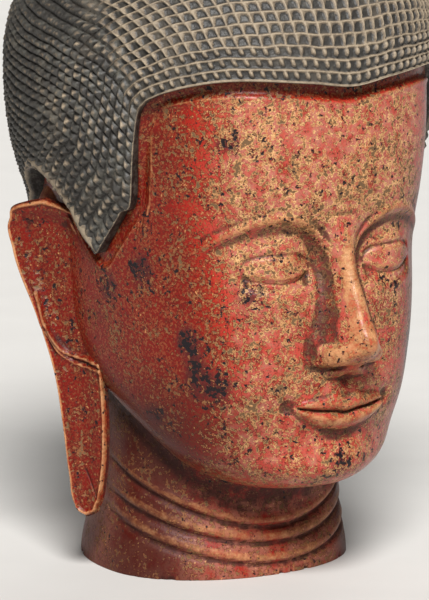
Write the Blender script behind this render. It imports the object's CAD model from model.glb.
"""Looks of the carved wooden head: lacquered skin and ears, carved curls, crown knot, sawn underside."""

import math

import bpy
import numpy as np
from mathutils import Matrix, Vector, kdtree


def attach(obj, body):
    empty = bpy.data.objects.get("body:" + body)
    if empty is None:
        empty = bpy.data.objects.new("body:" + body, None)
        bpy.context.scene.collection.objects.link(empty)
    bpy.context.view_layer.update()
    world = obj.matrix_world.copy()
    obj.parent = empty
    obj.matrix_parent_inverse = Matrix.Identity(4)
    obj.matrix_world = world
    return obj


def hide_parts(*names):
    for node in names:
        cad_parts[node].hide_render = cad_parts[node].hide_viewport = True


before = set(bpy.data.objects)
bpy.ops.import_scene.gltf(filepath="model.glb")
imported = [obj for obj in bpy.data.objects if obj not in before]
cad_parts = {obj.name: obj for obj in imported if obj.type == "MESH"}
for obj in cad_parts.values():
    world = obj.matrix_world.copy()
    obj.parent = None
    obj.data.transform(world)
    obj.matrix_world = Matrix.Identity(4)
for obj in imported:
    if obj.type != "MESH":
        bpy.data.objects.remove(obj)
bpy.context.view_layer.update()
MM = 0.001

# Sizes shared with the solid that these pieces replace
NECK_WIDTH = 169 * MM
NECK_DEPTH = 168 * MM
NECK_TAPER = 0.07
CHIN_HEIGHT = 60 * MM
UNDER_JAW = 3 * MM
FOLD_DEPTH = 2.4 * MM
FOLD_WIDTH = 3.0 * MM
FOLDS = ((6.5 * MM, 27 * MM), (19.7 * MM, 27 * MM), (30 * MM, 36 * MM))
FACE_HEIGHT = 262 * MM
FACE_WIDTH = 210 * MM
FACE_DEPTH = 136 * MM
AXIS_Y = -18 * MM
THIRD = FACE_HEIGHT / 3
EYE = FACE_WIDTH / 5
HAIRLINE_Z = CHIN_HEIGHT + FACE_HEIGHT
BROW_Z = HAIRLINE_Z - THIRD
NOSE_Z = BROW_Z - THIRD
EYE_Z = CHIN_HEIGHT + FACE_HEIGHT * 4 / 7
MOUTH_Z = NOSE_Z - THIRD / 3
CAP_WIDTH = 253 * MM
CAP_OVER_FACE = 6 * MM
CAP_FRONT = FACE_DEPTH + CAP_OVER_FACE
CAP_BACK = 136 * MM
CAP_UP = 110 * MM
CAP_DOWN = 158 * MM
CAP_Z = HAIRLINE_Z - 4 * MM
CAP_SQUARE_FRONT = 2.2
CAP_SQUARE_BACK = 2.4
CAP_ROUND = 2.2
SKULL_TOP_Z = HAIRLINE_Z + CAP_UP - 20 * MM
SKULL_ROUND = 2.4
HAIR_RAISE = 5 * MM
KNOB_HEIGHT = 5 * MM
CHANNEL_REACH = 8.5 * MM
CHANNEL_SLOPE = 3 * MM
CHANNEL_DEPTH = 2.5 * MM
CROWN_WIDTH = 118 * MM
CROWN_HEIGHT = 72 * MM
CROWN_SINK = 30 * MM
CROWN_ROUND = 0.75
EAR_LENGTH = 203 * MM
EAR_TIP_Z = 37 * MM
EAR_ROOT_X = 97 * MM
EAR_ROOT_Y = -20 * MM
EAR_SWEEP = math.radians(33)
EAR_WIDTH = 60 * MM

# Carving that only these pieces have
CURL_PITCH = 6.8 * MM
COMB_TILT = math.radians(45)
COMB_TWIST = 0.7
CURL_FOOT = 0.6 * MM
ROW_LINE = 1.7 * MM
TOOTH = 3.0 * MM
STUD = 3.5 * MM
RIM_BEAD = 1.7 * MM
BRIM = 0.8 * MM
UNDER_CAP = 5.5 * MM
CHIP = 1.7 * MM
EAR_PLATE = 4.0 * MM
EAR_DISH = 4.6 * MM
EAR_BEHIND = 6.8 * MM
FRONT_ROWS = 12
MIDDLE_ROWS = 12
EDGE_STEPS = 1500


def through(at, knots, values):
    """Smooth curve through a few knots, read at any number of places."""
    knots = np.asarray(knots, float)
    values = np.asarray(values, float)
    slopes = np.gradient(values, knots)
    i = np.clip(np.searchsorted(knots, at) - 1, 0, len(knots) - 2)
    span = knots[i + 1] - knots[i]
    t = np.clip((at - knots[i]) / span, 0, 1)
    start = (1 + 2 * t) * (1 - t) ** 2 * values[i] + t * (1 - t) ** 2 * span * slopes[i]
    end = t * t * (3 - 2 * t) * values[i + 1] - t * t * (1 - t) * span * slopes[i + 1]
    return start + end


def ease(value, low, high):
    """0 below low, 1 above high, smooth between."""
    t = np.clip((value - low) / (high - low), 0, 1)
    return t * t * (3 - 2 * t)


def swell(x, z, centre, reach, power=2.0):
    """A rounded mound, 1 at its centre and near 0 past its reach."""
    across = np.abs((x - centre[0]) / reach[0]) ** power
    along = np.abs((z - centre[1]) / reach[1]) ** power
    return np.exp(-across - along)


def line(distance, width):
    """A narrow ridge or groove, 1 on its line."""
    return np.exp(-((distance / width) ** 2))


def section(phi, half_width, front, back, power):
    """Radius of a squarish oval round the head's axis; phi is 0 in front and grows to both sides."""
    depth = np.where(np.cos(phi) > 0, front, back)
    side = np.abs(np.sin(phi) / half_width) ** power
    return (side + np.abs(np.cos(phi) / depth) ** power) ** (-1 / power)


def neck_radius(phi, z):
    """Radius of the neck, a little slimmer below the jaw than at its foot."""
    flare = 1 - NECK_TAPER * ease(z, 0, CHIN_HEIGHT * 0.7)
    front = NECK_DEPTH / 2 + AXIS_Y
    back = NECK_DEPTH / 2 - AXIS_Y
    return section(phi, NECK_WIDTH / 2, front, back, 2.1) * flare


def jaw_height(phi):
    """Height of the jaw's lower border, from the chin up to the ears and level round the nape."""
    turn = np.degrees(np.abs(phi))
    rise = through(turn, [-25, 0, 25, 50, 75, 95, 180, 265], [0.03, 0, 0.03, 0.17, 0.5, 0.72, 0.8, 0.72])
    return CHIN_HEIGHT + THIRD * rise


def mask_radius(phi, z):
    """Skull and face without their carving."""
    t = np.clip((z - CHIN_HEIGHT) / FACE_HEIGHT, 0, 1)
    stations = [0, 0.07, 0.145, 0.22, 0.34, 0.53, 0.67, 0.84, 1]
    width = FACE_WIDTH / 2 * through(t, stations, [0.66, 0.78, 0.87, 0.93, 0.98, 1.02, 1.02, 1.04, 1.05])
    front = FACE_DEPTH * through(t, stations, [0.90, 0.93, 0.92, 0.95, 0.965, 0.965, 1.0, 1.02, 1.005])
    back = CAP_BACK * through(t, stations, [0.66, 0.66, 0.67, 0.68, 0.72, 0.83, 0.90, 0.95, 0.95])
    power = through(t, stations, [2.1, 2.15, 2.2, 2.2, 2.2, 2.25, 2.35, 2.5, 2.55])
    return section(phi, width, front, back, power)


def head_radius(phi, z):
    """Radius of the skin round the axis: the neck, and the head where it stands out over the jaw's border."""
    border = jaw_height(phi)
    reach = THIRD * through(np.abs(phi), np.radians([0, 60, 95, 180]), [0.30, 0.34, 0.5, 0.9])
    t = np.clip((z - border) / reach, 0, 1)
    out = (1 - (1 - t) ** SKULL_ROUND) ** (1 / SKULL_ROUND)
    neck = neck_radius(phi, z)
    under = UNDER_JAW * line(np.minimum(z - border, 0), 3 * UNDER_JAW)
    skin = neck + under + (mask_radius(phi, z) - neck - under) * out
    rise = np.clip((z - HAIRLINE_Z) / (SKULL_TOP_Z - HAIRLINE_Z), 0, 1)
    return skin * (1 - rise**SKULL_ROUND) ** (1 / SKULL_ROUND)


def cap_radius(phi, z):
    """Radius of the hair to the foot of its curls: the dome, or a step over the skin where that is more."""
    power = np.where(np.cos(phi) > 0, CAP_SQUARE_FRONT, CAP_SQUARE_BACK)
    oval = section(phi, CAP_WIDTH / 2, CAP_FRONT, CAP_BACK, power)
    reach = np.where(z > CAP_Z, CAP_UP, CAP_DOWN)
    rise = np.clip(np.abs(z - CAP_Z) / reach, 0, 1)
    dome = oval * (1 - rise**CAP_ROUND) ** (1 / CAP_ROUND)
    over_skin = np.where(z < HAIRLINE_Z, head_radius(phi, z) + HAIR_RAISE, 0)
    return np.maximum(dome, over_skin)


def hair_edge(phi):
    """Height of the hair's edge: forehead with a soft dip, temple, sideburn, arch over the ear, nape."""
    turn = np.degrees(np.abs(phi))
    forehead = [0.04, 0, 0.04, 0.05, 0, -0.06]
    temple = [-0.11, -0.22, -0.46, -0.76, -0.94, -1.26]
    in_front = through(turn, [-12, 0, 12, 38, 46, 52, 55, 57.4, 59, 61, 66.5, 77.5], forehead + temple)
    over_ear = through(turn, [77.5, 88, 98, 107, 117, 127], [-1.26, -1.05, -0.79, -0.71, -0.79, -1.08])
    nape = through(turn, [127, 138, 180, 222], [-1.08, -1.58, -1.74, -1.58])
    height = np.select([turn < 77.5, turn < 127], [in_front, over_ear], nape)
    return HAIRLINE_Z + THIRD * height


def place(phi, radius, z):
    """Point in space at a turn, a radius and a height; phi runs from the front towards the head's left."""
    return np.stack([radius * np.sin(phi), AXIS_Y - radius * np.cos(phi), z + 0 * radius], axis=-1)


def edge_line(count):
    """(phi, z) at equal steps along the hair's edge, once round the head."""
    phi = np.linspace(-math.pi, math.pi, 7201)
    height = hair_edge(phi)
    points = place(phi, cap_radius(phi, height), height)
    steps = np.linalg.norm(np.diff(points, axis=0), axis=1)
    along = np.concatenate([[0], np.cumsum(steps)])
    even = np.interp(np.arange(count) * along[-1] / count, along, phi)
    return even, hair_edge(even)


def nearest(points, marks):
    """Distance from each point to the nearest mark."""
    tree = kdtree.KDTree(len(marks))
    for i, mark in enumerate(marks):
        tree.insert(mark, i)
    tree.balance()
    flat = points.reshape(-1, 3)
    return np.array([tree.find(point)[2] for point in flat]).reshape(points.shape[:-1])


def from_edge(phi, z, edge_radius):
    """Distance of the skin from the hair's edge line, which lies at the radius that edge_radius gives."""
    edge_phi, edge_z = edge_line(EDGE_STEPS)
    edge = place(edge_phi, edge_radius(edge_phi, edge_z), edge_z)
    return nearest(place(phi, head_radius(phi, z), z), edge)


def eyes(x, z):
    """Lowered lids: the ball, the upper lid over the lower one, and the crease above."""
    side = (x - EYE) / (EYE / 2)
    inside = np.clip(1 - side**2, 0, 1)
    ball = swell(x, z, (EYE, EYE_Z - 0.02 * EYE), (0.60 * EYE, 0.42 * EYE), 2.4)
    slit_z = EYE_Z - 0.10 * EYE - 0.10 * EYE * inside
    in_reach = ease(1.12 - np.abs(side), 0, 0.25)
    slit = line(z - slit_z, 1.5 * MM) * in_reach
    below = ease(slit_z - z, 0, 1.5 * MM) * (1 - ease(slit_z - z, 4 * MM, 12 * MM)) * in_reach
    crease_z = slit_z + 0.10 * EYE + 0.30 * EYE * np.sqrt(inside)
    crease = line(z - crease_z, 1.6 * MM) * in_reach
    return 10 * MM * ball - 2.0 * MM * slit - 2.4 * MM * below - 1.7 * MM * crease


def brows(x, z):
    """The brow's arched edge, and the socket below it."""
    fall = np.where(x < EYE, 0.86, 0.51) * (x - EYE) ** 2 / EYE
    arch = BROW_Z + 0.07 * THIRD - fall
    along = ease(x, 0.10 * EYE, 0.35 * EYE) * (1 - ease(x, 1.75 * EYE, 2.2 * EYE))
    ridge = line(z - arch, 3.2 * MM) * along
    socket = swell(x, z, (0.95 * EYE, EYE_Z + 0.14 * EYE), (0.95 * EYE, 0.52 * EYE), 2.6)
    inner_socket = swell(x, z, (0.45 * EYE, EYE_Z + 0.10 * EYE), (0.30 * EYE, 0.40 * EYE))
    return 2.6 * MM * ridge - 10 * MM * socket - 5 * MM * inner_socket


def nose(x, z):
    """Bridge, tip, wings and nostrils."""
    t = (z - NOSE_Z) / (EYE_Z + 0.25 * EYE - NOSE_Z)
    height = 30 * MM * through(np.clip(t, -0.12, 1.3), [-0.12, 0.0, 0.13, 0.5, 0.85, 1.05, 1.3],
                               [0.0, 0.50, 1.0, 0.80, 0.48, 0.30, 0.0])
    half = EYE * through(np.clip(t, 0, 1.2), [0, 0.2, 0.5, 0.8, 1.2], [0.33, 0.34, 0.26, 0.22, 0.34])
    bridge = height * np.exp(-((x / half) ** 2) ** 1.35)
    wing = 12 * MM * swell(x, z, (0.37 * EYE, NOSE_Z + 0.17 * EYE), (0.16 * EYE, 0.20 * EYE), 2.6)
    groove = 1.5 * MM * swell(x, z, (0.60 * EYE, NOSE_Z + 0.20 * EYE), (0.07 * EYE, 0.24 * EYE))
    nostril = 6 * MM * swell(x, z, (0.22 * EYE, NOSE_Z - 0.01 * EYE), (0.10 * EYE, 0.05 * EYE))
    return bridge + wing * ease(z, NOSE_Z - 0.06 * EYE, NOSE_Z + 0.06 * EYE) - groove - nostril


def mouth(x, z):
    """Closed lips with a raised outline, the groove above them and the soft pits at their corners."""
    half = 0.78 * EYE
    side = np.clip(x / half, 0, 1.3)
    inside = np.clip(1 - side**2, 0, 1)
    parting = MOUTH_Z + 3.5 * MM * side**2 - 1.2 * MM * np.exp(-((side / 0.18) ** 2))
    upper = parting + (8.5 * MM + 1.6 * MM * np.exp(-(((side - 0.22) / 0.16) ** 2))) * inside**0.6
    lower = parting - 11.5 * MM * inside**0.55
    within = ease(1.04 - side, 0, 0.14)
    up = np.clip((z - parting) / np.maximum(upper - parting, 1 * MM), -2, 3)
    down = np.clip((parting - z) / np.maximum(parting - lower, 1 * MM), -2, 3)
    upper_lip = np.where((up > 0) & (up < 1), np.sin(math.pi * np.clip(up, 0, 1)) ** 0.6, 0)
    lower_lip = np.where((down > 0) & (down < 1), np.sin(math.pi * np.clip(down, 0, 1)) ** 0.6, 0)
    lips = (3.6 * MM * upper_lip + 4.4 * MM * lower_lip) * within
    outline = (line(z - upper, 1.3 * MM) + line(z - lower, 1.3 * MM)) * within * 1.2 * MM
    mound = 6 * MM * swell(x, z, (0, MOUTH_Z), (0.80 * EYE, 0.62 * EYE), 2.4)
    cleft = 2.0 * MM * line(z - parting, 1.4 * MM) * within
    corner = 3.5 * MM * swell(x, z, (0.88 * EYE, MOUTH_Z + 4 * MM), (0.12 * EYE, 0.13 * EYE))
    philtrum_z = (NOSE_Z + MOUTH_Z + 9 * MM) / 2
    philtrum = 1.6 * MM * swell(x, z, (0, philtrum_z), (0.10 * EYE, 0.20 * EYE))
    return mound + lips + outline - cleft - corner - philtrum


def soft_forms(x, z):
    """Cheeks, chin and the hollow between lip and chin."""
    cheek = 5 * MM * swell(x, z, (1.35 * EYE, NOSE_Z + 0.22 * THIRD), (0.85 * EYE, 0.62 * THIRD))
    chin = 6 * MM * swell(x, z, (0, CHIN_HEIGHT + 0.24 * THIRD), (0.62 * EYE, 0.24 * THIRD), 2.4)
    hollow = 3 * MM * swell(x, z, (0, CHIN_HEIGHT + 0.47 * THIRD), (0.50 * EYE, 0.09 * THIRD))
    return cheek + chin - hollow


def face_relief(x, z):
    """How far the carving stands out in front of the plain mask."""
    x = np.abs(x)
    return brows(x, z) + eyes(x, z) + nose(x, z) + mouth(x, z) + soft_forms(x, z)


def fold_heights(phi):
    """Heights of the three lines of the neck, which hang lowest in front."""
    hang = 1 - np.cos(np.minimum(np.abs(phi), math.radians(110)))
    return [height + rise * hang for height, rise in FOLDS]


def neck_folds(phi, z):
    """The three lines of the neck with a soft lip over each."""
    carved = 0
    for fold in fold_heights(phi):
        groove = line(z - fold, FOLD_WIDTH * 0.6)
        lip = line(z - fold - 1.6 * FOLD_WIDTH, FOLD_WIDTH)
        carved = carved + FOLD_DEPTH * (0.45 * lip - groove)
    return carved * (1 - ease(np.abs(phi), math.radians(75), math.radians(115))) * ease(z, 0, 3 * MM)


def spread(count, low, high, density):
    """Places between two ends, closer where the density is more."""
    fine = np.linspace(low, high, 2001)
    weight = density((fine[1:] + fine[:-1]) / 2)
    along = np.concatenate([[0], np.cumsum(weight)])
    return np.interp(np.linspace(0, along[-1], count), along, fine)


def skin_points(columns, neck_rows, head_rows):
    """(phi, z) of the skin by row and column, up to a little under the hair's edge."""

    def turn_density(phi):
        return 0.45 + 2.2 * line(phi, math.radians(32)) + np.exp(-((phi / math.radians(75)) ** 4))

    phi = spread(columns + 1, -math.pi, math.pi, turn_density)[:-1]
    border = jaw_height(phi)
    top = hair_edge(phi) + 7 * MM
    neck = np.linspace(0, 1, neck_rows, endpoint=False)[:, None] * border
    fine = border + (top - border) * (np.linspace(0, 1, 900) ** 1.5)[:, None]
    radius = head_radius(phi[None], fine)
    middle = (fine[1:] + fine[:-1]) / 2
    lips_z = (NOSE_Z + MOUTH_Z) / 2
    wanted = 0.8 + 1.2 * line(middle - EYE_Z, 0.5 * EYE) + 1.2 * line(middle - lips_z, 0.7 * EYE)
    along = np.cumsum(np.hypot(np.diff(radius, axis=0), np.diff(fine, axis=0)) * wanted, axis=0)
    along = np.concatenate([np.zeros((1, columns)), along])
    head = np.empty((head_rows, columns))
    for i in range(columns):
        head[:, i] = np.interp(np.linspace(0, along[-1, i], head_rows), along[:, i], fine[:, i])
    z = np.concatenate([neck, head])
    return np.broadcast_to(phi, z.shape), z


def blurred(field, reach, closed=True):
    """The field averaged over its neighbours, twice; its columns close round on themselves."""
    for _ in range(2):
        for axis in (0, 1):
            mode = "wrap" if axis and closed else "edge"
            width = [(reach, reach) if a == axis else (0, 0) for a in (0, 1)]
            padded = np.pad(field, width, mode=mode)
            total = np.cumsum(padded, axis=axis)
            zero = np.zeros_like(np.take(total, [0], axis=axis))
            total = np.concatenate([zero, total], axis=axis)
            span = 2 * reach + 1
            count = field.shape[axis]
            high = np.take(total, np.arange(span, span + count), axis=axis)
            field = (high - np.take(total, np.arange(count), axis=axis)) / span
    return field


def solid_mesh(name, points, faces, material, tones):
    """Smooth mesh object from arrays; tones are shares from 0 to 1 at each point, for the material."""
    points = np.asarray(points, float).reshape(-1, 3)
    mesh = bpy.data.meshes.new(name)
    faces = np.asarray(faces, np.int32)
    mesh.vertices.add(len(points))
    mesh.vertices.foreach_set("co", points.astype(np.float32).ravel())
    mesh.loops.add(faces.size)
    mesh.loops.foreach_set("vertex_index", faces.ravel())
    mesh.polygons.add(len(faces))
    mesh.polygons.foreach_set("loop_start", np.arange(0, faces.size, faces.shape[1], dtype=np.int32))
    mesh.update(calc_edges=True)
    mesh.validate()
    for tone, values in tones.items():
        stored = mesh.attributes.new(tone, "FLOAT", "POINT")
        stored.data.foreach_set("value", np.clip(values, 0, 1).astype(np.float32).ravel())
    mesh.shade_smooth()
    mesh.materials.append(material)
    made = bpy.data.objects.new(name, mesh)
    bpy.context.scene.collection.objects.link(made)
    return made


def grid_quads(rows, columns, closed=True):
    """Quads between neighbouring rows and columns, facing out where columns run anticlockwise from above."""
    row = np.arange(rows - 1)[:, None] * columns
    column = np.arange(columns if closed else columns - 1)[None]
    after = (column + 1) % columns
    quads = [row + column, row + after, row + columns + after, row + columns + column]
    return np.stack(quads, axis=-1).reshape(-1, 4)


def part_of_head(piece):
    """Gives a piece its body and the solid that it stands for."""
    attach(piece, "root")
    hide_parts("buddha_head")
    return piece


# Old spots where damp and grime took the red: turn in degrees, then height, half width and half height in mm
STAINS = (
    (-43, 144, 8, 19), (-36, 134, 10, 11), (-46, 164, 6, 9), (-27, 194, 8, 7), (-60, 205, 9, 12),
    (-75, 190, 8, 10), (0, 84, 7, 8), (21, 192, 6, 4), (-58, 112, 9, 7), (34, 150, 9, 18),
    (58, 262, 14, 12), (-33, 288, 9, 5), (150, 120, 30, 20), (-140, 90, 24, 16), (100, 215, 12, 18),
)


def chips(phi):
    """How far knocks have bitten into the foot's edge round the neck."""
    knocks = np.sin(23 * phi + 1) + np.sin(37 * phi + 2.2) + np.sin(61 * phi) + np.sin(5 * phi + 0.6)
    return CHIP * ease(knocks, 0.9, 2.6)


def skin(material):
    """Neck, jaw and face up to a little under the hair, with the brim beside the hairline."""
    phi, z = skin_points(300, 48, 270)
    radius = head_radius(phi, z)
    points = place(phi, radius, z)
    gap = from_edge(phi, z, cap_radius)
    beside = np.where(z > hair_edge(phi), 0, from_edge(phi, z, head_radius))
    facing = ease(np.cos(phi), 0.05, 0.5) * ease(z, CHIN_HEIGHT - 2 * MM, CHIN_HEIGHT + 8 * MM)
    carved = face_relief(points[..., 0], z) * facing
    recess = -CHANNEL_DEPTH * (1 - ease(gap, CHANNEL_REACH, CHANNEL_REACH + CHANNEL_SLOPE))
    brim = line(gap - CHANNEL_REACH - CHANNEL_SLOPE - 0.6 * MM, 1.5 * MM) * (z < hair_edge(phi))
    crest = BRIM * brim
    step = np.maximum(cap_radius(phi, z) - radius - UNDER_CAP, 0) * (1 - ease(np.abs(phi), 1.2, 1.4))
    outward = recess + crest + step * (1 - ease(beside, 0.5 * MM, 7 * MM)) + neck_folds(phi, z)
    points[..., 1] -= carved
    points[..., 0] += outward * np.sin(phi)
    points[..., 1] -= outward * np.cos(phi)
    bitten = chips(phi) * (1 - ease(z, 0.5 * MM, 4.5 * MM))
    points[..., 0] -= bitten * np.sin(phi)
    points[..., 1] += bitten * np.cos(phi)
    relief = carved + crest + neck_folds(phi, z) - 2 * bitten
    near = relief - blurred(relief, 3)
    wide = relief - blurred(relief, 9)
    border = jaw_height(phi)
    tucked = line(z - border + 9 * MM, 13 * MM)
    below = 1 - ease(z - border, -6 * MM, 2 * MM)
    stain = 0
    for turn, height, reach, tall in STAINS:
        spot = (phi - math.radians(turn)) * radius
        stain = stain + swell(spot, z, (0, height * MM), (reach * MM, tall * MM))
    x = points[..., 0]
    low_cheek = (1 - ease(x, -84 * MM, -22 * MM)) * (1 - ease(z, 85 * MM, 170 * MM))
    far_cheek = ease(x, 34 * MM, 74 * MM) * (1 - ease(z, 200 * MM, 300 * MM))
    behind_ears = ease(np.abs(phi), math.radians(70), math.radians(110))
    under_chin = below * (1 - ease(np.cos(phi), 0.35, 0.85)) * (1 - 0.8 * behind_ears)
    soot = 0.80 * low_cheek * (1 - 0.7 * below) + 0.42 * far_cheek + 0.78 * under_chin
    reach = (88 + 16 * ease(z, 200 * MM, 260 * MM)) * MM
    bright = ease(gap, 9 * MM, 13 * MM) * (1 - ease(np.abs(x + 6 * MM), 50 * MM, reach))
    rubbed = (0.35 + 0.65 * ease(z - border, -6 * MM, 10 * MM)) * (0.82 + 0.36 * ease(z, 165 * MM, 240 * MM))
    tones = {
        "ridge": ease(near, 0.10 * MM, 0.60 * MM) * 0.75 + ease(wide, 0.8 * MM, 4 * MM) * 0.2 + 0.1 * brim,
        "hollow": ease(-near, 0.05 * MM, 0.5 * MM) * 0.8 + ease(-wide, 0.5 * MM, 2.5 * MM) * 0.28 + tucked,
        "shade": 1 - ease(beside, 0, 1.8 * MM) + 0.12 * (1 - ease(gap, 7 * MM, 10 * MM)) + soot,
        "stain": stain,
        "dust": 1 - ease(z - border, -16 * MM, 2 * MM),
        "gilt": bright * rubbed,
    }
    return solid_mesh("face_and_neck", points, grid_quads(*z.shape), material, tones)


def comb_directions(theta, psi):
    """Unit vectors of the combed rows: theta from their pole in front, psi round it from the top."""
    front = np.array([0, -math.cos(COMB_TILT), -math.sin(COMB_TILT)])
    up = np.array([0, -math.sin(COMB_TILT), math.cos(COMB_TILT)])
    side = np.array([1.0, 0, 0])
    ring = np.sin(psi)[..., None] * side + np.cos(psi)[..., None] * up
    return np.cos(theta)[..., None] * front + np.sin(theta)[..., None] * ring


def on_cap(directions):
    """Distance along each direction from the cap's centre to the hair's surface."""
    low = np.full(directions.shape[:-1], CAP_WIDTH / 10)
    high = np.full(directions.shape[:-1], CAP_WIDTH)
    for _ in range(20):
        middle = (low + high) / 2
        x = middle * directions[..., 0]
        depth = -middle * directions[..., 1]
        inside = np.hypot(x, depth) < cap_radius(np.arctan2(x, depth), CAP_Z + middle * directions[..., 2])
        low = np.where(inside, middle, low)
        high = np.where(inside, high, middle)
    return low


def first_row(psi):
    """Where the combed rows start: on the hair's edge to the ear, then a smooth sweep to the nape."""
    phi = np.radians(np.linspace(0, 77.5, 500))
    z = hair_edge(phi)
    ray = place(phi, cap_radius(phi, z), z) - np.array([0, AXIS_Y, CAP_Z])
    ray /= np.linalg.norm(ray, axis=1)[:, None]
    front = comb_directions(np.array(0.0), np.array(0.0))
    up = comb_directions(np.array(math.pi / 2), np.array(0.0))
    turns = np.append(np.arctan2(ray[:, 0], ray @ up), np.radians([140, 180]))
    starts = np.append(np.arccos(ray @ front), np.radians([57, 65]))
    return np.interp(np.abs(psi), turns, starts)


def row_at(psi, share):
    """Directions on a row, with a hand-cut line's drift; share is 0 at the hair's edge and 1 at the back."""
    start = first_row(psi)
    theta = start + (math.pi - start) * share
    bend = COMB_TWIST * ease(theta, math.radians(68), math.radians(145)) * np.sin(psi)
    along = 0.004 * np.sin(19 * psi + 1.3) * np.sin(13 * theta + 0.7) + 0.002 * np.sin(47 * psi + 2)
    across = 0.008 * np.sin(17 * theta + 0.4) * np.sin(9 * psi + 2.1) + 0.003 * np.sin(43 * theta)
    free = ease(share, 0, 0.06) * (1 - share)
    return comb_directions(theta + along * free, psi + bend + across * free * np.sin(psi)), theta


def forehead_curls(u, b, drop, tall):
    """(height, dust) of wedges hung under thin lines: wide above, pointed below, a drop in the lowest rows.

    u runs across a curl towards the head's right, b up from its lower line.
    """
    rail = line(np.minimum(b, 1 - b), 0.12)
    lean = u - 0.62
    reach = np.where(lean < 0, 0.04 + 0.54 * b, 0.05 + 0.13 * b)
    flank = np.clip(1 - np.abs(lean) / reach, 0, 1)
    wedge = flank * through(b, [0, 0.1, 0.3, 0.6, 1], [0.1, 0.55, 0.9, 0.9, 0.7])
    bead = np.sqrt(np.clip(1 - ((u - 0.5) / (0.12 + 0.16 * b)) ** 2 - ((b - 0.58) / 0.40) ** 2, 0, 1))
    curl = wedge + (bead - wedge) * drop
    wedge_dust = (0.62 * ease(flank, 0.05, 0.3) + 0.3 * ease(flank, 0.6, 0.9)) * ease(b, 0.02, 0.15)
    bead_dust = 0.75 * ease(bead, 0.1, 0.7) * ease(b, 0.2, 0.5)
    dust = np.maximum(0.9 * rail, wedge_dust + (bead_dust - wedge_dust) * drop)
    return np.maximum(ROW_LINE * rail, TOOTH * tall * curl), dust


def side_studs(a, b, peak, tall, bared):
    """(height, dust) of four-sided studs between dark cuts, rubbed on the side that looks up and forward."""
    across = np.abs(a - peak[0]) / np.where(a < peak[0], peak[0], 1 - peak[0])
    along = np.abs(b - peak[1]) / np.where(b < peak[1], peak[1], 1 - peak[1])
    pyramid = 1 - np.maximum(across, along)
    rubbed = ease(pyramid, 0.18, 0.5) * ease(across - along, -0.25, 0.1) * (a < peak[0] + 0.1)
    return STUD * tall * np.clip(pyramid * 1.15, 0, 1) ** 0.9, rubbed * bared + 0.3 * ease(pyramid, 0.3, 0.9)


def back_ribs(a, b, tall, bared):
    """(height, dust) of thick ribs notched across at each row and between."""
    crest = (1 - np.abs(2 * a - 1) ** 1.8) ** 0.8
    notch = 1 - 0.36 * line(np.minimum(b, 1 - b), 0.12) - 0.2 * (0.5 - 0.5 * np.cos(math.pi * (4 * b + a)))
    dust = ease(crest * notch, 0.6, 0.95) * (0.25 + 0.3 * bared) - 0.3 * line(np.minimum(b, 1 - b), 0.1)
    return STUD * (0.85 + 0.15 * tall) * crest * notch, np.maximum(dust, 0)


def welded(points, faces, tones):
    """Points that coincide made one."""
    _, first, index = np.unique(
        np.round(points / (0.02 * MM)).astype(np.int64), axis=0, return_index=True, return_inverse=True
    )
    return points[first], index.reshape(-1)[faces], {name: values[first] for name, values in tones.items()}


def hair_cells(row_count):
    """(row, psi at both sides) of every cell of one half of the hair, columns evenly set along the edge."""
    psi = np.linspace(0, math.pi, 3601)
    directions, _ = row_at(psi, np.full(psi.shape, 0.0))
    points = directions * on_cap(directions)[:, None]
    along = np.concatenate([[0], np.cumsum(np.linalg.norm(np.diff(points, axis=0), axis=1))])
    groups = round(along[-1] / CURL_PITCH / 4)
    sides = np.interp(np.linspace(0, along[-1], 4 * groups + 1), along, psi)
    cells = []
    for row in range(row_count):
        directions, _ = row_at(psi, np.full(psi.shape, (row + 0.5) / row_count))
        points = directions * on_cap(directions)[:, None]
        along = np.concatenate([[0], np.cumsum(np.linalg.norm(np.diff(points, axis=0), axis=1))])
        for group in range(groups):
            ends = sides[4 * group : 4 * group + 5]
            low, high = np.interp([ends[0], ends[-1]], psi, along)
            wide = (high - low) / CURL_PITCH
            count = 8 if wide > 6.6 else 4 if wide > 2.8 else 2 if wide > 1.4 else 1
            borders = np.interp(np.linspace(0, 4, count + 1), np.arange(5), ends)
            cells += [(row, borders[i], borders[i + 1]) for i in range(count)]
    return np.array(cells)


A_STEPS = np.array([0, 0.14, 0.26, 0.38, 0.5, 0.62, 0.74, 0.86, 1.0])
B_STEPS = np.array([0, 0.06, 0.13, 0.24, 0.36, 0.5, 0.64, 0.78, 0.9, 1.0])


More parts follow.
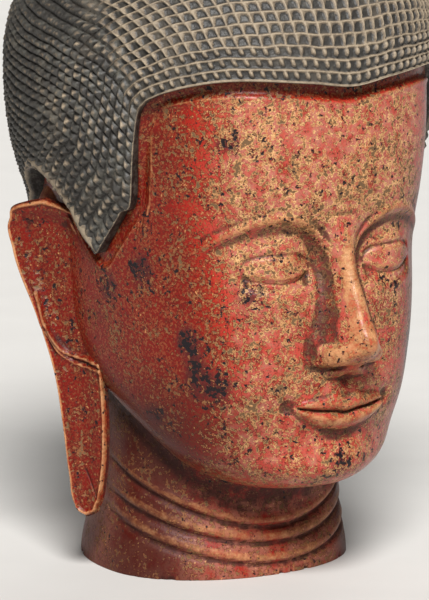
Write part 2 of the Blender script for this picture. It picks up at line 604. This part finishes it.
def hair(material):
    """The combed rows of curls in three pieces, without what lies under the hair's edge."""
    rng = np.random.default_rng(7)
    start = float(first_row(np.array(0.0)))
    row_count = round((math.pi - start) * (CAP_UP + CAP_BACK) / 2 / CURL_PITCH)
    cells = hair_cells(row_count)
    quads = grid_quads(len(B_STEPS), len(A_STEPS), closed=False)
    behind = FRONT_ROWS + MIDDLE_ROWS
    for name, low, high in (
        ("hair_front", 0, FRONT_ROWS), ("hair_middle", FRONT_ROWS, behind), ("hair_back", behind, row_count),
    ):
        chosen = cells[(cells[:, 0] >= low) & (cells[:, 0] < high)]
        a = np.broadcast_to(A_STEPS[None, None, :], (len(chosen), len(B_STEPS), len(A_STEPS)))
        b = np.broadcast_to(B_STEPS[None, :, None], a.shape)
        row = chosen[:, 0, None, None]
        psi = chosen[:, 1, None, None] + a * (chosen[:, 2] - chosen[:, 1])[:, None, None]
        directions, theta = row_at(psi, (row + b) / row_count)
        foot = on_cap(directions) + CURL_FOOT
        corner = 69 - 0.5 * (np.degrees(theta) - 70)
        all_points, all_faces = [], []
        gathered = {"height": [], "dust": [], "grid": [], "own": [], "rib": []}
        for sign in (1, -1):
            tall, bared, own = rng.uniform(0, 1, (3, len(chosen), 1, 1))
            peak = rng.uniform(0.36, 0.64, (2, len(chosen), 1, 1))
            front = 1 - ease(np.degrees(psi) + 5 * own, corner - 4, corner + 6)
            rib = ease(np.degrees(theta) + 5 * own - 0.27 * (110 - np.degrees(psi)), 80, 92)
            drop = 1 - ease(row + own, 2.2, 3.4)
            u = a if sign < 0 else 1 - a
            comb, comb_dust = forehead_curls(u, b, drop, 0.85 + 0.25 * tall)
            stud, stud_dust = side_studs(a, b, peak, 0.78 + 0.3 * tall, 0.08 + 0.62 * bared**3)
            ribbed, rib_dust = back_ribs(a, b, tall, bared)
            side = stud + (ribbed - stud) * rib
            side_dust = stud_dust + (rib_dust - stud_dust) * rib
            height = side + (comb - side) * front
            points = directions * (foot + height)[..., None] + np.array([0, AXIS_Y, CAP_Z])
            points[..., 0] *= sign
            whole = (np.arange(len(chosen))[:, None, None] * a[0].size + quads).reshape(-1, 4)
            all_faces.append((whole if sign > 0 else whole[:, ::-1]) + len(all_points) * a.size)
            all_points.append(points.reshape(-1, 3))
            values = {"height": height / STUD, "dust": side_dust + (comb_dust - side_dust) * front}
            values |= {"grid": front, "own": np.broadcast_to(own, a.shape), "rib": rib * (1 - front)}
            for tone, share in values.items():
                gathered[tone].append(share.ravel())
        points = np.concatenate(all_points)
        faces = np.concatenate(all_faces)
        phi = np.arctan2(points[:, 0], AXIS_Y - points[:, 1])
        shown = points[:, 2] > hair_edge(phi) - 1 * MM
        faces = faces[shown[faces].any(axis=1)]
        tones = {tone: np.concatenate(shares) for tone, shares in gathered.items()}
        points, faces, tones = welded(points, faces, tones)
        part_of_head(solid_mesh(name, points, faces, material, tones))


def crown(material):
    """Crown knot: level rows of studs on a low dome sunk into the cap."""
    rng = np.random.default_rng(11)
    tall = CROWN_HEIGHT + CROWN_SINK
    foot = CAP_Z + CAP_UP - CROWN_SINK
    rows = round(0.5 * math.pi * (CROWN_WIDTH / 2 + tall) / 2 / CURL_PITCH)
    all_points, all_faces, heights, dusts = [], [], [], []
    steps = np.linspace(0, 1, 7)
    quads = grid_quads(len(steps), len(steps), closed=False)
    total = 0
    for row in range(1, rows):
        lean = 0.5 * math.pi * (row + 0.5) / rows
        count = max(5, round(2 * math.pi * CROWN_WIDTH / 2 * math.cos(lean) ** CROWN_ROUND / CURL_PITCH))
        a = np.broadcast_to(steps[None, None, :], (count, len(steps), len(steps)))
        b = np.broadcast_to(steps[None, :, None], a.shape)
        turn = 2 * math.pi * (np.arange(count)[:, None, None] + a + 0.5 * (row % 2)) / count
        leans = 0.5 * math.pi * (row + b) / rows
        grown, bared = rng.uniform(0.8, 1.05, (2, count, 1, 1))
        height, dust = side_studs(a, b, (0.5, 0.5), grown, bared - 0.3)
        lift = CURL_FOOT + height
        across = (CROWN_WIDTH / 2 + lift) * np.maximum(np.cos(leans), 0) ** CROWN_ROUND
        level = foot + (tall - KNOB_HEIGHT + lift) * np.sin(leans)
        points = np.stack([across * np.sin(turn), -across * np.cos(turn), level], axis=-1)
        size = points[0].size // 3
        all_points.append(points.reshape(-1, 3))
        all_faces.append((np.arange(count)[:, None, None] * size + quads).reshape(-1, 4) + total)
        heights.append(height.ravel() / STUD)
        dusts.append(dust.ravel())
        total += count * size
    points = np.concatenate(all_points)
    tones = {"height": np.concatenate(heights), "dust": np.concatenate(dusts), "grid": np.zeros(total)}
    tones |= {"own": np.full(total, 0.5), "rib": np.zeros(total)}
    points, faces, tones = welded(points, np.concatenate(all_faces), tones)
    return part_of_head(solid_mesh("crown_knot", points, faces, material, tones))


def hair_rim(material):
    """Plain raised border of the hair: a thin bead on the forehead, a broad smooth band over the ears."""
    phi, z = edge_line(EDGE_STEPS)
    edge = place(phi, cap_radius(phi, z), z)
    along = np.roll(edge, -2, axis=0) - np.roll(edge, 2, axis=0)
    along /= np.linalg.norm(along, axis=1)[:, None]
    step = 0.5 * MM
    rise = place(phi, cap_radius(phi, z + step), z + step) - place(phi, cap_radius(phi, z - step), z - step)
    ahead = phi + 0.004
    behind = phi - 0.004
    turn = place(ahead, cap_radius(ahead, z), z) - place(behind, cap_radius(behind, z), z)
    out = np.cross(turn, rise)
    out /= np.linalg.norm(out, axis=1)[:, None]
    up = np.cross(out, along)
    up /= np.linalg.norm(up, axis=1)[:, None]
    around = np.degrees(np.abs(phi))
    broad = ease(around, 76, 84)
    slim = ease(around, 46, 54) * (1 - broad)
    wide = (1.2 - 0.45 * slim + 3.6 * broad) * MM
    high = RIM_BEAD * (1 - 0.5 * slim) + 0.9 * MM * broad
    rings, tones = [], []
    for across, lift in (
        (1.25, -1.2), (1.1, 0.25), (0.85, 0.75), (0.5, 0.96),
        (0.1, 1.0), (-0.3, 0.8), (-0.55, 0.3), (-0.6, -0.4),
    ):
        rings.append(edge + up * (across * wide)[:, None] + out * (lift * high)[:, None])
        tones.append(np.full(len(phi), max(0.0, lift)))
    low = rings[-1]
    low_phi = np.arctan2(low[:, 0], AXIS_Y - low[:, 1])
    foot = place(low_phi, head_radius(low_phi, low[:, 2]) - 3 * MM, low[:, 2])
    for share in (0.35, 0.7, 1.0):
        rings.append(low + (foot - low) * share)
        tones.append(np.zeros(len(phi)))
    points = np.stack(rings)[::-1]
    height = np.stack(tones)[::-1]
    tones = {"height": height, "dust": 0.85 * height, "grid": ease(height, 0, 0.4), "own": 0.5 + 0 * height}
    tones["rib"] = 0 * height
    return part_of_head(solid_mesh("hair_rim", points, grid_quads(*height.shape), material, tones))


def leaf(h):
    """(middle, half width) of the ear's plate at a share h of its length up from the tip, in ear widths."""
    marks = [0, 0.012, 0.04, 0.13, 0.30, 0.46, 0.62, 0.83, 0.93, 0.98, 1]
    middle = through(h, marks, [0.11, 0.11, 0.11, 0.105, 0.13, 0.195, 0.31, 0.49, 0.57, 0.59, 0.59])
    half = through(h, marks, [0, 0.09, 0.15, 0.215, 0.268, 0.30, 0.37, 0.47, 0.43, 0.28, 0])
    return middle, np.maximum(half, 0)


def on_leaf(across, h):
    """Flat place on the ear's plate, in metres from its root and tip."""
    h = np.asarray(h, float)
    middle, half = leaf(h)
    out = EAR_WIDTH * (middle + half * np.asarray(across, float))
    return np.stack([out, EAR_LENGTH * h, 0 * out], axis=-1)


def curve_marks(knots, count=300):
    """Closely set marks on a smooth line through (across, share of length) knots of the ear."""
    t = np.linspace(0, len(knots) - 1, count)
    across = through(t, np.arange(len(knots)), [knot[0] for knot in knots])
    h = through(t, np.arange(len(knots)), [knot[1] for knot in knots])
    return on_leaf(across, h)


UPPER_FOLD = ((0.72, 0.70), (0.76, 0.60), (0.50, 0.526), (0.05, 0.507), (-0.35, 0.50), (-1.0, 0.482))
LOWER_FOLD = ((0.80, 0.58), (0.59, 0.522), (0.30, 0.495), (0.07, 0.485), (-0.40, 0.476), (-1.0, 0.466))
INNER_HELIX = ((-0.72, 0.955), (-0.82, 0.91), (-0.83, 0.86), (-0.77, 0.82), (-0.65, 0.76), (-0.50, 0.69))
LOBE_CUT = ((0.1, 0.155), (-0.3, 0.105), (-0.72, 0.062))


def ear(side, material):
    """Long ear: a hollowed plate with thin raised borders, a double fold over the lobe, and its root."""
    rows, columns = 200, 84
    h = (1 - np.cos(np.linspace(0.05, math.pi - 0.05, rows))) / 2
    h = 0.5 * h + 0.5 * np.linspace(h[0], h[-1], rows)
    a = -np.cos(np.linspace(0, math.pi, columns))
    a = 0.4 * a + 0.6 * np.linspace(-1, 1, columns)
    h_grid, a_grid = np.meshgrid(h, a, indexing="ij")
    flat = on_leaf(a_grid, h_grid)
    ends = np.linspace(0, 1, 500)
    outline = np.concatenate([on_leaf(np.full(500, s), ends) for s in (-1.0, 1.0)])
    inset = nearest(flat, outline)
    lobe = 1 - ease(h_grid, 0.42, 0.56)
    dish = EAR_DISH * ease(inset, 3.2 * MM, 15 * MM) * (1 - 0.45 * lobe)
    front = EAR_PLATE * ease(inset, 0, 2.2 * MM) - dish + 1.2 * MM * line(inset - 2.2 * MM, 1.1 * MM)
    groove = 0.5 * MM * line(inset - 4.8 * MM, 1.0 * MM)
    upper, lower, helix, cut = (
        nearest(flat, curve_marks(knots)) for knots in (UPPER_FOLD, LOWER_FOLD, INNER_HELIX, LOBE_CUT)
    )
    folds = 2.2 * MM * line(upper, 1.4 * MM) + 1.7 * MM * line(lower, 1.2 * MM)
    between = line(upper - lower, 1.6 * MM) * line(upper + lower, 8 * MM)
    cuts = np.maximum(line(helix, 0.9 * MM), 0.6 * line(cut, 0.7 * MM))
    inner = ease(-a_grid, 0.5, 0.75) * ease(h_grid, 0.66, 0.72) * (1 - ease(h_grid, 0.93, 0.97))
    front = front - groove + folds - 1.5 * MM * between + 1.4 * MM * inner - 1.6 * MM * cuts
    behind = -EAR_BEHIND * np.clip(inset / (9 * MM), 0, 1) ** 0.5
    relief = front - blurred(front, 4, closed=False)
    outward = np.array([math.sin(EAR_SWEEP), math.cos(EAR_SWEEP), 0.0])
    facing = np.array([math.cos(EAR_SWEEP), -math.sin(EAR_SWEEP), 0.0])
    up = np.array([0, 0, 1.0])
    root = np.array([EAR_ROOT_X, EAR_ROOT_Y, EAR_TIP_Z])

    def stand(level):
        return root + outward * flat[..., :1] + facing * level[..., None] + up * flat[..., 1:2]

    points = np.concatenate([stand(front), stand(behind)[:, ::-1][:, 1:-1]], axis=1)
    ring = points.shape[1]
    blank = np.zeros((rows, ring - columns))
    rim = line(inset - 2.0 * MM, 1.5 * MM)
    tones = {
        "ridge": np.concatenate([np.maximum(rim, ease(relief, 0.1 * MM, 0.9 * MM)), blank + 0.1], axis=1),
        "hollow": np.concatenate([ease(-relief, 0.1 * MM, 0.7 * MM) + cuts + between, blank], axis=1),
        "shade": np.concatenate([0.38 * (1 - rim), blank + 0.25], axis=1),
        "dust": np.concatenate([0.25 * lobe, blank + 0.6], axis=1),
        "gilt": np.concatenate([0.2 + 0 * inset, blank], axis=1),
        "stain": np.concatenate([0.03 + 0 * inset, blank + 0.2], axis=1),
    }
    points = points.reshape(-1, 3)
    faces = grid_quads(rows, ring)
    caps = []
    for start in (0, (rows - 1) * ring):
        for i in range(1, ring // 2 - 1):
            quad = [start + i, start + i + 1, start + ring - i - 1, start + ring - i]
            caps.append(quad if start else quad[::-1])
    faces = np.concatenate([faces, caps])
    root_points, root_faces, root_tones = ear_root()
    faces = np.concatenate([faces, root_faces + len(points)])
    points = np.concatenate([points, root_points])
    tones = {name: np.concatenate([values.ravel(), root_tones[name]]) for name, values in tones.items()}
    points[:, 0] *= side
    if side < 0:
        faces = faces[:, ::-1]
    name = "ear_left" if side > 0 else "ear_right"
    return part_of_head(solid_mesh(name, points, faces[:, ::-1], material, tones))


def ear_root():
    """The swelling behind the ear's plate that joins it to the head."""
    rows, columns = 40, 64
    up = np.linspace(-0.5 * math.pi + 0.02, 0.5 * math.pi - 0.02, rows)[:, None]
    turn = np.linspace(0, 2 * math.pi, columns, endpoint=False)[None]
    centre = np.array([EAR_ROOT_X - 6 * MM, EAR_ROOT_Y + 42 * MM, EAR_TIP_Z + 0.80 * EAR_LENGTH])
    reach = np.array([22 * MM, 30 * MM, 0.27 * EAR_LENGTH])
    unit = np.stack([np.cos(up) * np.cos(turn), np.cos(up) * np.sin(turn), np.sin(up) + 0 * turn], axis=-1)
    points = (centre + reach * unit).reshape(-1, 3)
    shares = {"ridge": 0.75, "hollow": 0, "shade": 0.15, "dust": 0.9, "gilt": 0, "stain": 0}
    tones = {name: np.full(len(points), float(share)) for name, share in shares.items()}
    return points, grid_quads(rows, columns)[:, ::-1], tones


def underside(material):
    """Sawn end of the neck."""
    columns = 240
    phi = np.linspace(-math.pi, math.pi, columns, endpoint=False)
    shares = np.linspace(0.02, 1, 14)
    radius = shares[:, None] * (neck_radius(phi, np.zeros(columns)) - chips(phi))
    points = place(np.broadcast_to(phi, radius.shape), radius, np.zeros_like(radius))
    faces = grid_quads(len(shares), columns)
    middle = []
    for i in range(columns // 2 - 1):
        middle.append([i, (i + 1) % columns, (columns - i - 2) % columns, columns - i - 1])
    faces = np.concatenate([faces[:, ::-1], middle])
    tones = {"worn": np.repeat(shares[:, None], columns, axis=1)}
    return part_of_head(solid_mesh("neck_underside", points, faces, material, tones))


def linear(code):
    """Colour for a socket from an sRGB hex code."""
    channels = [int(code[i : i + 2], 16) / 255 for i in (1, 3, 5)]
    return (*[c / 12.92 if c <= 0.04045 else ((c + 0.055) / 1.055) ** 2.4 for c in channels], 1)


def add(tree, kind, inputs, output=0, **settings):
    """One node with its settings; each input is a value, or the output of another node. Gives its output."""
    made = tree.nodes.new("ShaderNode" + kind)
    for name, value in settings.items():
        setattr(made, name, value)
    for name, value in inputs.items():
        if isinstance(value, bpy.types.NodeSocket):
            tree.links.new(value, made.inputs[name])
        else:
            made.inputs[name].default_value = value
    return made.outputs[output]


def finish_of(name):
    """(material, its tree, its shader, object coordinates) of a new finish."""
    made = bpy.data.materials.new(name)
    made.use_nodes = True
    tree = made.node_tree
    return made, tree, tree.nodes["Principled BSDF"], add(tree, "TexCoord", {}, "Object")


def coated(tree, body, coats):
    """The body colour under its coats: where each lies, starts and is full, how much covers, its colour."""
    for lies, start, full, cover, colour in coats:
        reach = {"Value": lies, "From Min": start, "From Max": full, "To Max": cover}
        shown = add(tree, "MapRange", reach, interpolation_type="SMOOTHSTEP")
        body = add(tree, "Mix", {0: shown, 6: body, 7: linear(colour)}, 2, data_type="RGBA")
    return body


def worn_lacquer():
    """Red lacquer in many coats over a gold and an olive ground on carved hardwood, rubbed down by hands.

    The eye gets a satin vermilion film worn through its coats as on a map: pale gold lines round tan islands,
    near-black pits in the middle of the deepest, tan crests, stains, and grime in the hollows.
    """
    made, tree, shader, at = finish_of("worn_red_lacquer")
    marks = {}
    for name in ("ridge", "hollow", "shade", "dust", "gilt", "stain"):
        marks[name] = add(tree, "Attribute", {}, "Fac", attribute_name=name)
    grain = {}
    for name, feature, detail, rough in (
        ("broad", 38 * MM, 4.0, 0.6), ("patch", 15 * MM, 4.0, 0.6), ("rub", 7 * MM, 4.0, 0.6),
        ("pit", 3.6 * MM, 2.0, 0.6), ("island", 2.8 * MM, 2.0, 0.55), ("fleck", 1.6 * MM, 2.0, 0.5),
        ("speck", 1.0 * MM, 2.0, 0.5),
    ):
        scaled = {"Vector": at, "Scale": 1 / feature, "Detail": detail, "Roughness": rough}
        grain[name] = add(tree, "TexNoise", scaled)
    # How deep each place is rubbed: islands five millimetres apart, deeper in some patches
    depth = grain["island"]
    for share, by in (
        (grain["patch"], 0.42), (grain["broad"], 0.35), (grain["speck"], 0.12), (marks["gilt"], 0.06),
    ):
        depth = add(tree, "Math", {0: share, 1: by, 2: depth}, operation="MULTIPLY_ADD")
    # Gold shows only where hands and cloth reach, in the middle of the face
    glint = add(tree, "Math", {0: grain["rub"], 1: marks["gilt"]}, operation="MULTIPLY")
    lining = add(tree, "Math", {0: glint, 1: 0.25, 2: depth}, operation="MULTIPLY_ADD")
    scuff = add(tree, "Math", {0: grain["patch"], 1: 0.5, 2: grain["fleck"]}, operation="MULTIPLY_ADD")
    fleck = add(tree, "Math", {0: glint, 1: 0.3, 2: scuff}, operation="MULTIPLY_ADD")
    smear = add(tree, "Math", {0: grain["rub"], 1: 0.6, 2: grain["fleck"]}, operation="MULTIPLY_ADD")
    blot = add(tree, "Math", {0: grain["rub"], 1: marks["stain"]}, operation="MULTIPLY")
    pits = grain["pit"]
    for share, by in ((grain["patch"], 0.3), (grain["speck"], 0.15), (blot, 0.34), (marks["dust"], -0.04)):
        pits = add(tree, "Math", {0: share, 1: by, 2: pits}, operation="MULTIPLY_ADD")
    crest = add(tree, "Math", {0: grain["rub"], 1: 1.1, 2: marks["ridge"]}, operation="MULTIPLY_ADD")
    crest = add(tree, "Math", {0: grain["fleck"], 1: 0.4, 2: crest}, operation="MULTIPLY_ADD")
    veil = add(tree, "Math", {0: grain["patch"], 1: marks["dust"]}, operation="MULTIPLY")
    grimy = add(tree, "Math", {0: grain["rub"], 1: marks["hollow"]}, operation="MULTIPLY")
    # From the top coat down
    body = coated(tree, linear("#BE2412"), (
        (marks["gilt"], 0.20, 0.95, 0.75, "#AC4A3E"),
        (grain["patch"], 0.42, 0.62, 0.7, "#941A10"),
        (grain["broad"], 0.52, 0.68, 0.6, "#64120B"),
        (marks["gilt"], 0.75, 0.05, 0.78, "#540C06"),
        (smear, 0.82, 0.98, 0.65, "#74482A"),
        (grain["speck"], 0.52, 0.62, 0.55, "#561A10"),
        (scuff, 0.760, 0.795, 0.55, "#965632"),
        (scuff, 0.825, 0.860, 0.7, "#7E1C12"),
        (veil, 0.28, 0.60, 0.72, "#94604E"),
        (marks["shade"], 0.0, 1.0, 0.70, "#420C05"),
        (glint, 0.28, 0.66, 0.48, "#BE8C76"),
        (marks["stain"], 0.10, 0.90, 0.42, "#4A1C20"),
        (blot, 0.04, 0.60, 0.8, "#33181A"),
        (fleck, 0.975, 1.005, 0.75, "#D8A66A"),
        (fleck, 1.030, 1.060, 0.75, "#A0301E"),
        (depth, 0.980, 1.010, 0.7, "#4E170E"),
        (lining, 1.138, 1.165, 0.85, "#E0B078"),
        (depth, 1.045, 1.075, 0.75, "#96613A"),
        (depth, 1.105, 1.140, 0.8, "#544430"),
        (crest, 1.20, 1.70, 0.6, "#A86A42"),
        (crest, 1.50, 1.90, 0.5, "#CF9C6E"),
        (grimy, 0.18, 0.55, 0.8, "#2C100C"),
        (pits, 0.835, 0.875, 0.7, "#54221A"),
        (pits, 0.880, 0.905, 0.95, "#131317"),
        (marks["shade"], 0.0, 1.0, 0.50, "#2A0A05"),
    ))
    tree.links.new(body, shader.inputs["Base Color"])
    film = {"Value": depth, "From Min": 1.0, "From Max": 1.2, "To Min": 0.32, "To Max": 0.55}
    dull = add(tree, "MapRange", film)
    dull = add(tree, "Math", {0: veil, 1: 0.35, 2: dull}, operation="MULTIPLY_ADD")
    dull = add(tree, "Math", {0: grimy, 1: 0.3, 2: dull}, operation="MULTIPLY_ADD", use_clamp=True)
    tree.links.new(dull, shader.inputs["Roughness"])
    shader.inputs["IOR"].default_value = 1.5
    shader.inputs["Specular IOR Level"].default_value = 0.22
    # The worn coats lie lower than the film, and the pits lowest
    level = {"Value": depth, "From Min": 1.0, "From Max": 1.22, "To Min": 1.0, "To Max": 0.0}
    sunk = add(tree, "MapRange", level)
    sunk = add(tree, "Math", {0: grain["fleck"], 1: 0.5, 2: sunk}, operation="MULTIPLY_ADD")
    hole = add(tree, "MapRange", {"Value": pits, "From Min": 0.87, "From Max": 0.93})
    sunk = add(tree, "Math", {0: hole, 1: -1.0, 2: sunk}, operation="MULTIPLY_ADD")
    bump = add(tree, "Bump", {"Height": sunk, "Strength": 0.5, "Distance": 0.5 * MM})
    tree.links.new(bump, shader.inputs["Normal"])
    return made


def dark_hair_paint():
    """Black lacquer on the carved curls, matt with age, its crests rubbed to dusty tan wood.

    The eye gets mottled slate faces, near-black cuts between them and tan lines along the crests.
    """
    made, tree, shader, at = finish_of("black_lacquer_on_curls")
    marks = {}
    for name in ("height", "dust", "grid", "own", "rib"):
        marks[name] = add(tree, "Attribute", {}, "Fac", attribute_name=name)
    grain = {}
    for name, feature, detail in (
        ("zone", 30 * MM, 4.0), ("patch", 9 * MM, 3.0), ("mottle", 2.6 * MM, 3.0), ("nick", 1.2 * MM, 2.0),
    ):
        scaled = {"Vector": at, "Scale": 1 / feature, "Detail": detail, "Roughness": 0.6}
        grain[name] = add(tree, "TexNoise", scaled)
    raised = add(tree, "Math", {0: marks["grid"], 1: 0.34, 2: marks["height"]}, operation="MULTIPLY_ADD")
    raised = add(tree, "Math", {0: grain["mottle"], 1: 0.2, 2: raised}, operation="MULTIPLY_ADD")
    mixed = add(tree, "Math", {0: grain["patch"], 1: 0.9, 2: grain["mottle"]}, operation="MULTIPLY_ADD")
    mixed = add(tree, "Math", {0: marks["own"], 1: 0.25, 2: mixed}, operation="MULTIPLY_ADD")
    rubbed = marks["dust"]
    for share, by in ((grain["mottle"], 0.7), (grain["nick"], 0.35), (grain["patch"], 0.6)):
        rubbed = add(tree, "Math", {0: share, 1: by, 2: rubbed}, operation="MULTIPLY_ADD")
    field = add(tree, "Math", {0: marks["grid"], 1: marks["dust"]}, operation="SUBTRACT")
    # Small dark nicks on the ribs, wherever the mottling passes through one of its waves
    cut = add(tree, "Math", {0: grain["mottle"], 1: 4 * math.pi}, operation="MULTIPLY")
    cut = add(tree, "Math", {0: cut}, operation="SINE")
    cut = add(tree, "Math", {0: cut, 1: marks["rib"]}, operation="MULTIPLY")
    # From the cuts up
    body = coated(tree, linear("#17120F"), (
        (raised, 0.12, 0.40, 1.0, "#393632"),
        (mixed, 0.98, 1.28, 0.48, "#605F57"),
        (mixed, 1.20, 1.45, 0.5, "#74695A"),
        (field, 0.50, 0.95, 0.55, "#23201D"),
        (rubbed, 1.02, 1.30, 0.8, "#776856"),
        (rubbed, 1.35, 1.75, 0.85, "#A4937B"),
        (grain["zone"], 0.50, 0.72, 0.28, "#7A6E5E"),
        (cut, 0.10, 0.90, 0.75, "#1B1815"),
    ))
    tree.links.new(body, shader.inputs["Base Color"])
    dull = add(tree, "Math", {0: marks["dust"], 1: 0.2, 2: 0.5}, operation="MULTIPLY_ADD", use_clamp=True)
    tree.links.new(dull, shader.inputs["Roughness"])
    shader.inputs["IOR"].default_value = 1.5
    rough = add(tree, "Math", {0: grain["mottle"], 1: 1.5, 2: grain["nick"]}, operation="MULTIPLY_ADD")
    rough = add(tree, "Math", {0: cut, 1: -0.5, 2: rough}, operation="MULTIPLY_ADD")
    bump = add(tree, "Bump", {"Height": rough, "Strength": 0.6, "Distance": 0.5 * MM})
    tree.links.new(bump, shader.inputs["Normal"])
    return made


def sawn_wood():
    """Bare end grain of an old hardwood block, sawn flat.

    The eye gets growth rings about four millimetres apart, fine pores, and a dark handled border.
    """
    made, tree, shader, at = finish_of("sawn_hardwood_end")
    worn = add(tree, "Attribute", {}, "Fac", attribute_name="worn")
    off = add(tree, "Mapping", {"Vector": at, "Location": (0.03, 0.02, 0.0)})
    ring_gap = 4 * MM
    growth = {"Vector": off, "Scale": 3.14 / (20 * ring_gap), "Distortion": 3.0}
    growth |= {"Detail": 2.0, "Detail Scale": 1.5}
    rings = add(tree, "TexWave", growth, "Fac", wave_type="RINGS", rings_direction="Z")
    pores = add(tree, "TexNoise", {"Vector": at, "Scale": 1 / (1.2 * MM), "Detail": 2.0})
    body = add(tree, "Mix", {0: rings, 6: linear("#7C5D40"), 7: linear("#9A7A57")}, 2, data_type="RGBA")
    open_pores = add(tree, "MapRange", {"Value": pores, "From Min": 0.55, "From Max": 0.7, "To Max": 0.5})
    body = add(tree, "Mix", {0: open_pores, 6: body, 7: linear("#4B3526")}, 2, data_type="RGBA")
    edge = add(tree, "MapRange", {"Value": worn, "From Min": 0.8, "From Max": 1.0, "To Max": 0.6})
    body = add(tree, "Mix", {0: edge, 6: body, 7: linear("#3B2419")}, 2, data_type="RGBA")
    tree.links.new(body, shader.inputs["Base Color"])
    shader.inputs["Roughness"].default_value = 0.75
    bump = add(tree, "Bump", {"Height": pores, "Strength": 0.4, "Distance": 0.4 * MM})
    tree.links.new(bump, shader.inputs["Normal"])
    return made


def pale_floor():
    """Matt painted board under the studio light, with the faint mottle of a rolled coat."""
    made, tree, shader, at = finish_of("matt_white_paint")
    mottle = add(tree, "TexNoise", {"Vector": at, "Scale": 1 / (60 * MM), "Detail": 4.0})
    body = add(tree, "Mix", {0: mottle, 6: linear("#CDCAC5"), 7: linear("#D5D2CD")}, 2, data_type="RGBA")
    tree.links.new(body, shader.inputs["Base Color"])
    shader.inputs["Roughness"].default_value = 0.8
    bpy.ops.mesh.primitive_plane_add(size=16, location=(0, 0, -0.0002))
    floor = bpy.context.object
    floor.name = "floor"
    floor.data.materials.append(made)


AZIMUTH = math.radians(-34)
ELEVATION = math.radians(10.5)
LEVEL = math.cos(ELEVATION)
BACK = Vector((math.sin(AZIMUTH) * LEVEL, -math.cos(AZIMUTH) * LEVEL, math.sin(ELEVATION)))
RIGHT = Vector((math.cos(AZIMUTH), math.sin(AZIMUTH), 0))
UP = BACK.cross(RIGHT)
CAMERA_REACH = 3.3


def aim(thing, spot, at):
    """Stands a camera or lamp at a spot, turned towards a point."""
    thing.location = spot
    thing.rotation_mode = "QUATERNION"
    thing.rotation_quaternion = (at - spot).to_track_quat("-Z", "Y")
    bpy.context.scene.collection.objects.link(thing)


def camera():
    """The view of the reference picture: 0.65 mm a pixel, the neck's foot low in the frame."""
    lens = bpy.data.cameras.new("camera")
    lens.lens = 305
    thing = bpy.data.objects.new("camera", lens)
    target = RIGHT * 0.0049 + UP * 0.1612
    aim(thing, target + BACK * CAMERA_REACH, target)
    bpy.context.scene.camera = thing


def lamps():
    """Plain soft studio light: a broad key from above the camera, a weak one from behind, a faint room."""
    middle = Vector((0, 0, 0.26))
    for name, spot, power, spread_degrees in (
        ("key", middle + RIGHT * 0.06 + BACK * 1.0 + UP * 0.68, 5.0, 20),
        ("top", middle + RIGHT * 0.3 - BACK * 0.6 + UP * 1.6, 0.6, 40),
    ):
        lamp = bpy.data.lights.new(name, "SUN")
        lamp.energy = power
        lamp.angle = math.radians(spread_degrees)
        aim(bpy.data.objects.new(name, lamp), spot, middle)
    world = bpy.data.worlds.new("room")
    world.use_nodes = True
    room = world.node_tree.nodes["Background"]
    room.inputs["Color"].default_value = linear("#E6E8EA")
    # Faint as a light, but pale where it shows past the floor's edge
    seen = add(world.node_tree, "LightPath", {}, "Is Camera Ray")
    strength = add(world.node_tree, "MapRange", {"Value": seen, "To Min": 0.07, "To Max": 0.95})
    world.node_tree.links.new(strength, room.inputs["Strength"])
    bpy.context.scene.world = world
    bpy.context.scene.view_settings.view_transform = "Standard"


camera()
lamps()
pale_floor()
lacquer = worn_lacquer()
hair_paint = dark_hair_paint()
part_of_head(skin(lacquer))
underside(sawn_wood())
hair(hair_paint)
crown(hair_paint)
hair_rim(hair_paint)
ear(-1, lacquer)
ear(1, lacquer)
